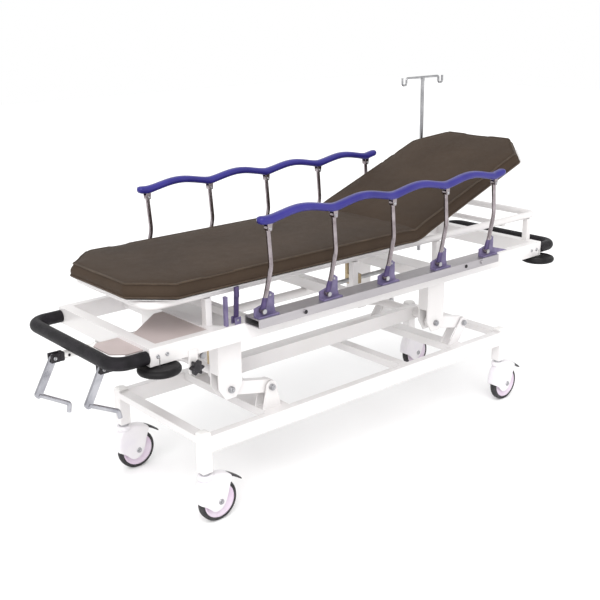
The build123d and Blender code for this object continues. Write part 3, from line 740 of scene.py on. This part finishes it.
def castor_hood(key, axle):
    """Thin moulded hood over the wheel, and the collar on the stem above it."""
    rows = []
    for (tx, tz), (lx, lz) in zip(HOOD_OUTER, HOOD_INNER):
        outer, inner = Vector((axle.x + tx, 0, tz)), Vector((axle.x + lx, 0, lz))
        shoulder = outer.lerp(inner, 0.07)
        chain = [(inner, -0.0205), (inner.lerp(outer, 0.35), -0.0222), (shoulder, -0.0225),
                 (outer, -0.0165), (outer.lerp(inner, -0.02), 0.0), (outer, 0.0165),
                 (shoulder, 0.0225), (inner.lerp(outer, 0.35), 0.0222), (inner, 0.0205)]
        rows.append([Vector((p.x, axle.y + w, p.z)) for p, w in chain])
    k = len(rows[0])
    verts = [p for row in rows for p in row]
    faces = [[i * k + q, i * k + q + 1, (i + 1) * k + q + 1, (i + 1) * k + q]
             for i in range(len(rows) - 1) for q in range(k - 1)]
    hood = make("castor_hood_" + key, verts, faces, "castor_" + key, "castor_shell",
                replaces=("fork_" + key,))
    shell = hood.modifiers.new("thickness", "SOLIDIFY")
    shell.thickness = 0.003
    shell.offset = 1.0
    smooth = hood.modifiers.new("subdivision", "SUBSURF")
    smooth.levels = 2
    smooth.render_levels = 2
    make("castor_collar_" + key, *lathe(COLLAR_PROFILE, (axle.x - TRAIL, axle.y, 0), "z", 48),
         "castor_" + key, "castor_shell")


def castor_axle(key, axle):
    """Cross axle with a screw head on each side."""
    side = 0.0235
    ends = [bolt((axle.x, axle.y - side, axle.z), "y", 0.0105, 0.005, -1),
            bolt((axle.x, axle.y + side, axle.z), "y", 0.0105, 0.005, 1),
            lathe([(0.0045, -side), (0.0045, side)], axle, "y", 20)]
    make("castor_axle_" + key, *join(*ends), "castor_" + key, "steel_pin")


def castor_pedal(key, axle):
    """Brake pedal behind the wheel, curving down towards its flared end."""
    verts, faces = [], []
    for t, w, th in PEDAL_STATIONS:
        x = axle.x + 0.030 + PEDAL_LENGTH * t
        z = PEDAL_Z + 0.004 - PEDAL_DROP * t ** 1.35 if t > 0 else PEDAL_Z + 0.002
        section = [(-w, -th * 0.5), (-w, th * 0.5), (-w * 0.5, th), (w * 0.5, th), (w, th * 0.5),
                   (w, -th * 0.5), (w * 0.5, -th), (-w * 0.5, -th)]
        verts += [Vector((x, axle.y + a, z + b)) for a, b in section]
    k, n = len(section), len(PEDAL_STATIONS)
    for i in range(n - 1):
        faces += [[i * k + q, i * k + (q + 1) % k, (i + 1) * k + (q + 1) % k, (i + 1) * k + q]
                  for q in range(k)]
    faces += [list(range(k)), list(range((n - 1) * k, n * k))[::-1]]
    make("castor_pedal_" + key, verts, faces, "castor_brake_" + key, "brake_black", sub=2,
         replaces=("brake_" + key,))


for end in ENDS:
    for side, _ in SIDES:
        key = f"{side}_{end}"
        axle = mid("wheel_" + key)
        castor_wheel(key, axle)
        castor_hood(key, axle)
        castor_axle(key, axle)
        castor_pedal(key, axle)

# ------------------------------------------------------- handles, bumpers
HANDLE_R, HANDLE_BEND = 0.022, 0.062
HANDLE_Y, HANDLE_Z = 0.281, 0.660
ROLLER_PROFILE = [(0.0063, -0.012), (0.020, -0.012), (0.024, -0.0105), (0.050, -0.0105),
                  (0.060, -0.0118), (0.0665, -0.009), (0.0695, -0.004), (0.070, 0.0),
                  (0.0695, 0.004), (0.0665, 0.009), (0.060, 0.0118), (0.050, 0.0105),
                  (0.024, 0.0105), (0.020, 0.012), (0.0063, 0.012), (0.0063, -0.012)]


def push_grip(end, bar_x, end_x):
    """U-shaped foam grip of one push handle."""
    path = fillet_path([(end_x, -HANDLE_Y, HANDLE_Z), (bar_x, -HANDLE_Y, HANDLE_Z),
                        (bar_x, HANDLE_Y, HANDLE_Z), (end_x, HANDLE_Y, HANDLE_Z)], HANDLE_BEND)
    make(end + "_push_grip", *tube(resample(path, 0.02), HANDLE_R, 36, round_end=0.004), "upper",
         "handle_black", replaces=(end + "_handle",))


push_grip("foot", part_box("foot_handle")[0].x + HANDLE_R, -0.943)
push_grip("head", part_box("head_handle")[1].x - HANDLE_R, 1.040)
for end in ENDS:
    name = f"bumper_{end}"
    make(f"roller_{end}", *lathe(ROLLER_PROFILE, mid(name), "z", 72), name, "bumper_black",
         replaces=(name,))

# ---------------------------------------------------- caps, knob
CAP_HALF = 0.0205
CAP_ROWS = ((1.0, 0.330), (1.0, 0.3345), (0.93, 0.3385), (0.72, 0.3415), (0.36, 0.3428))
KNOB_BACK_Y = -0.306


def leg_cap(side, end, x, y):
    """Domed cap on the top of one leg."""
    verts, faces = [], []
    outline = round_outline([(-CAP_HALF, -CAP_HALF), (CAP_HALF, -CAP_HALF), (CAP_HALF, CAP_HALF),
                             (-CAP_HALF, CAP_HALF)], 0.006)
    k, n = len(outline), len(CAP_ROWS)
    for scale, z in CAP_ROWS:
        verts += [Vector((x + a * scale, y + b * scale, z)) for a, b in outline]
    for i in range(n - 1):
        faces += [[i * k + q, i * k + (q + 1) % k, (i + 1) * k + (q + 1) % k, (i + 1) * k + q]
                  for q in range(k)]
    faces += [list(range(k))[::-1], list(range((n - 1) * k, n * k))]
    make(f"leg_cap_{side}_{end}", verts, faces, "base", "cap_white", replaces=("leg_caps",))


def side_knob_grip():
    """Six-lobed knob with a button in front and a flange behind."""
    c = mid("side_knob")
    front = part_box("side_knob")[0].y + 0.002
    lobes = [(c.x + (0.0205 + 0.0045 * math.cos(6 * a)) * math.cos(a),
              c.z + (0.0205 + 0.0045 * math.cos(6 * a)) * math.sin(a))
             for a in (2 * math.pi * i / 96 for i in range(96))]
    button = lathe([(0.012, 0.003), (0.012, 0.0), (0.009, -0.0016), (0.0, -0.002)],
                   (c.x, front, c.z), "y", 32)
    flange = lathe([(0.0115, -0.3065), (0.013, -0.3045), (0.013, -0.301), (0.006, -0.301)],
                   (c.x, 0, c.z), "y", 32)
    make("side_knob_grip", *join(prism(lobes, front, KNOB_BACK_Y), button, flange), "side_knob",
         "knob_black", replaces=("side_knob",), bevel=0.0022, parts=3)


lo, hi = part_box("leg_caps")
for end, x in (("foot", lo.x + CAP_HALF), ("head", hi.x - CAP_HALF)):
    for side, s in SIDES:
        leg_cap(side, end, x, s * (hi.y - CAP_HALF))
side_knob_grip()


# ------------------------------------------------- feet of the rail posts
PIVOT_R = 0.0096
BOOT_DEEP, BOOT_WIDE = 0.0090, 0.0093
BOSS_FROM_PIVOT = (0.041, 0.044)
BOSS_INNER_Y, BOSS_OUTER_Y, BOSS_R = 0.3355, 0.3482, 0.0122


def boot_path(foot):
    """Line of the plastic boot, from the pivot up the lean of the post."""
    return fillet_path([foot + Vector((dx, 0, dz)) for dx, dz in
                        ((-0.001, -0.006), (0.0075, 0.026), (0.0155, 0.050))], 0.12)


def post_boot(side, index):
    """Tapered boot round the lower end of one post; returns its pivot."""
    name = f"{side}_post_{index}"
    lo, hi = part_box(name)
    foot = Vector((lo.x + PIVOT_R, (lo.y + hi.y) / 2, lo.z + PIVOT_R))
    path = resample(boot_path(foot), 0.006)
    n = len(path)
    sizes = [0.72, 0.95] + [1.12 - 0.22 * (i / n) for i in range(n - 4)] + [0.84, 0.74]
    section = [(BOOT_DEEP * math.cos(a), BOOT_WIDE * math.sin(a))
               for a in (2 * math.pi * i / 28 for i in range(28))]
    verts, faces = sweep(path, section, Vector((1, 0, 0)), sizes=sizes)
    make(f"boot_{name}", verts, faces, name, "latch_violet")
    return foot


def post_boss(side, s, index, foot):
    """Round stop on the bracket beside the post, with a socket screw in it."""
    inner, outer = s * BOSS_INNER_Y, s * BOSS_OUTER_Y
    x, z = foot.x + BOSS_FROM_PIVOT[0], foot.z + BOSS_FROM_PIVOT[1]
    drum = lathe([(0.0, inner), (0.0105, inner), (BOSS_R, inner + s * 0.0015),
                  (BOSS_R, outer - s * 0.0028), (0.0102, outer), (0.0, outer)], (x, 0, z), "y", 36)
    make(f"boss_{side}_{index}", *drum, "upper", "bracket_lilac")
    make(f"boss_screw_{side}_{index}", *bolt((x, outer - s * 0.0006, z), "y", 0.0042, 0.0014, s),
         "upper", "steel_pin")


for side, s in SIDES:
    for i in range(1, 6):
        foot = post_boot(side, i)
        post_boss(side, s, i, foot)

# ------------------------------------------------------- frame fasteners
UPPER_SIDE = 0.296
CLAMP_FROM_END = (0.029, 0.063)
STUD_Z = 0.706
STUDS = ((-0.380, 0.3766), (0.450, 0.3716))
PIN_END_Y = 0.2455
ARM_PIVOTS = (("base", "base_pins", ((-0.423, 0.405), (0.611, 0.405))),
              ("upper", "frame_pins", ((-0.600, 0.445), (0.434, 0.445))))

foot_x, head_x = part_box("foot_handle")[1].x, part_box("head_handle")[0].x
clamp_z = mid("foot_handle").z + 0.001
clamp_xs = ([foot_x + step for step in CLAMP_FROM_END]
            + [head_x - step for step in CLAMP_FROM_END])
clamps = [bolt((x, s * (UPPER_SIDE - 0.0004), clamp_z), "y", 0.0065, 0.0032, s)
          for _, s in SIDES for x in clamp_xs]
make("handle_screws", *join(*clamps), "upper", "steel_pin")
studs = [bolt((x, s * y, STUD_Z), "y", 0.0072, 0.0034, s) for x, y in STUDS for _, s in SIDES]
make("channel_studs", *join(*studs), "upper", "knob_black")
for body, pins, places in ARM_PIVOTS:
    heads = [bolt((x, s * PIN_END_Y, z), "y", 0.0098, 0.0045, s)
             for x, z in places for _, s in SIDES]
    make(pins + "_screws", *join(*heads), body, "steel_pin")

# -------------------------------------------------------- crank knuckles
SLEEVE_R = 0.014
KNUCKLE_HALF = 0.015
SHAFT_R = 0.009
THREAD_PITCH = 0.005
FORK_HALF = 0.0068
PIN_FROM_END = 0.014


def threaded(centre, x0, x1):
    """Turned shaft whose middle stretch carries a coarse thread."""
    n = int((x1 - x0) / THREAD_PITCH)
    profile = [(0.0, x0), (SHAFT_R, x0)]
    for i in range(1, n):
        x = x0 + i * THREAD_PITCH
        profile += [(SHAFT_R, x - THREAD_PITCH * 0.25), (SHAFT_R - 0.0016, x),
                    (SHAFT_R, x + THREAD_PITCH * 0.25)]
    return profile + [(SHAFT_R, x1), (0.0, x1)]


def crank_shaft(label, frame_x):
    """Screw, sleeve and forked knuckle of one crank, joined by a cross pin."""
    lo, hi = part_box(label + "_shaft")
    y, z = (lo.y + hi.y) / 2, (lo.z + hi.z) / 2
    pin_x = lo.x + PIN_FROM_END
    body = label + "_shaft"
    centre = (0, y, z)
    make(label + "_screw", *lathe(threaded(centre, pin_x + 0.03, hi.x), centre, "x", 28), body,
         "screw_steel", replaces=(label + "_shaft",))
    sleeve = [(SHAFT_R + 0.0004, pin_x + 0.033), (SLEEVE_R - 0.002, pin_x + 0.033),
              (SLEEVE_R, pin_x + 0.035), (SLEEVE_R, frame_x - 0.009), (0.0172, frame_x - 0.008),
              (0.0172, frame_x - 0.001), (SHAFT_R + 0.0004, frame_x - 0.001),
              (SHAFT_R + 0.0004, pin_x + 0.033)]
    make(label + "_sleeve", *lathe(sleeve, centre, "x", 40), body, "cap_white")
    screw = bolt((pin_x + 0.05, y - SLEEVE_R + 0.0006, z), "y", 0.0048, 0.003, -1)
    make(label + "_sleeve_screw", *screw, body, "knob_black")
    w, inner = KNUCKLE_HALF, FORK_HALF
    block = join(box_mesh((pin_x + 0.0185, y - w, z - w), (pin_x + 0.034, y + w, z + w)),
                 box_mesh((pin_x - PIN_FROM_END, y + inner, z - w), (pin_x + 0.019, y + w, z + w)),
                 box_mesh((pin_x - PIN_FROM_END, y - w, z - w), (pin_x + 0.019, y - inner, z + w)))
    make(label + "_knuckle", *block, body, "knob_black", bevel=0.0028, parts=3)
    pin = join(bolt((pin_x, y - w, z), "y", 0.0062, 0.0032, -1),
               bolt((pin_x, y + w, z), "y", 0.0062, 0.0032, 1),
               lathe([(0.0, y - w), (0.004, y - w), (0.004, y + w), (0.0, y + w)], (pin_x, 0, z),
                     "y", 20))
    make(label + "_knuckle_pin", *pin, body, "steel_pin")


for label in ("height", "back"):
    crank_shaft(label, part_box("foot_handle")[1].x)

# ---------------------------------------------------------- camera, light
CAM_AT = Vector((-2.3589, -2.6714, 1.6931))
YAW, PITCH, ROLL = 0.865557, 0.302432, -0.0144514
LENS, SENSOR = 57.1122, 36.0
ahead = Vector((math.cos(YAW) * math.cos(PITCH), math.sin(YAW) * math.cos(PITCH),
                -math.sin(PITCH)))
right0 = Vector((math.sin(YAW), -math.cos(YAW), 0))
up0 = right0.cross(ahead)
right = math.cos(ROLL) * right0 + math.sin(ROLL) * up0
above = -math.sin(ROLL) * right0 + math.cos(ROLL) * up0
cam_data = bpy.data.cameras.new("camera")
cam_data.sensor_width = SENSOR
cam_data.lens = LENS
cam_data.clip_start, cam_data.clip_end = 0.05, 60.0
cam = bpy.data.objects.new("camera", cam_data)
scene.collection.objects.link(cam)
turn = Matrix((right, above, -ahead)).transposed().to_4x4()
cam.matrix_world = Matrix.Translation(CAM_AT) @ turn
scene.camera = cam

world = bpy.data.worlds.new("studio")
scene.world = world
world.use_nodes = True
world.node_tree.nodes["Background"].inputs["Color"].default_value = (1.0, 1.0, 1.0, 1)
world.node_tree.nodes["Background"].inputs["Strength"].default_value = 1.0
scene.view_settings.view_transform = "Standard"


def area(name, at, target, size, power, colour=(1, 1, 1)):
    """Rectangular lamp turned to a point."""
    d = bpy.data.lights.new(name, "AREA")
    d.shape = "RECTANGLE"
    d.size, d.size_y = size
    d.energy = power
    d.color = colour
    o = bpy.data.objects.new(name, d)
    scene.collection.objects.link(o)
    o.location = at
    o.rotation_euler = (Vector(target) - Vector(at)).to_track_quat("-Z", "Y").to_euler()


area("key", (-2.6, -2.2, 3.4), (0, 0, 0.6), (2.4, 2.4), 34)
area("fill", (1.8, -3.2, 1.9), (0.2, 0, 0.6), (2.6, 1.8), 10, (1.0, 0.97, 0.98))
sun_data = bpy.data.lights.new("soft_sun", "SUN")
sun_data.energy = 1.6
sun_data.angle = math.radians(50)
sun = bpy.data.objects.new("soft_sun", sun_data)
scene.collection.objects.link(sun)
sun.rotation_euler = Vector((0.75, 0.65, -0.9)).to_track_quat("-Z", "Y").to_euler()

FLOOR_HALF = 14
floor_mat = material("studio_floor", (0.97, 0.97, 0.97), (0.985, 0.985, 0.985), 0.85, patch=2.0,
                     spec=0.1)
floor_mesh = bpy.data.meshes.new("floor")
h = FLOOR_HALF
floor_mesh.from_pydata([(-h, -h, 0), (h, -h, 0), (h, h, 0), (-h, h, 0)], [], [(0, 1, 2, 3)])
floor = bpy.data.objects.new("floor", floor_mesh)
floor_mesh.materials.append(floor_mat)
scene.collection.objects.link(floor)
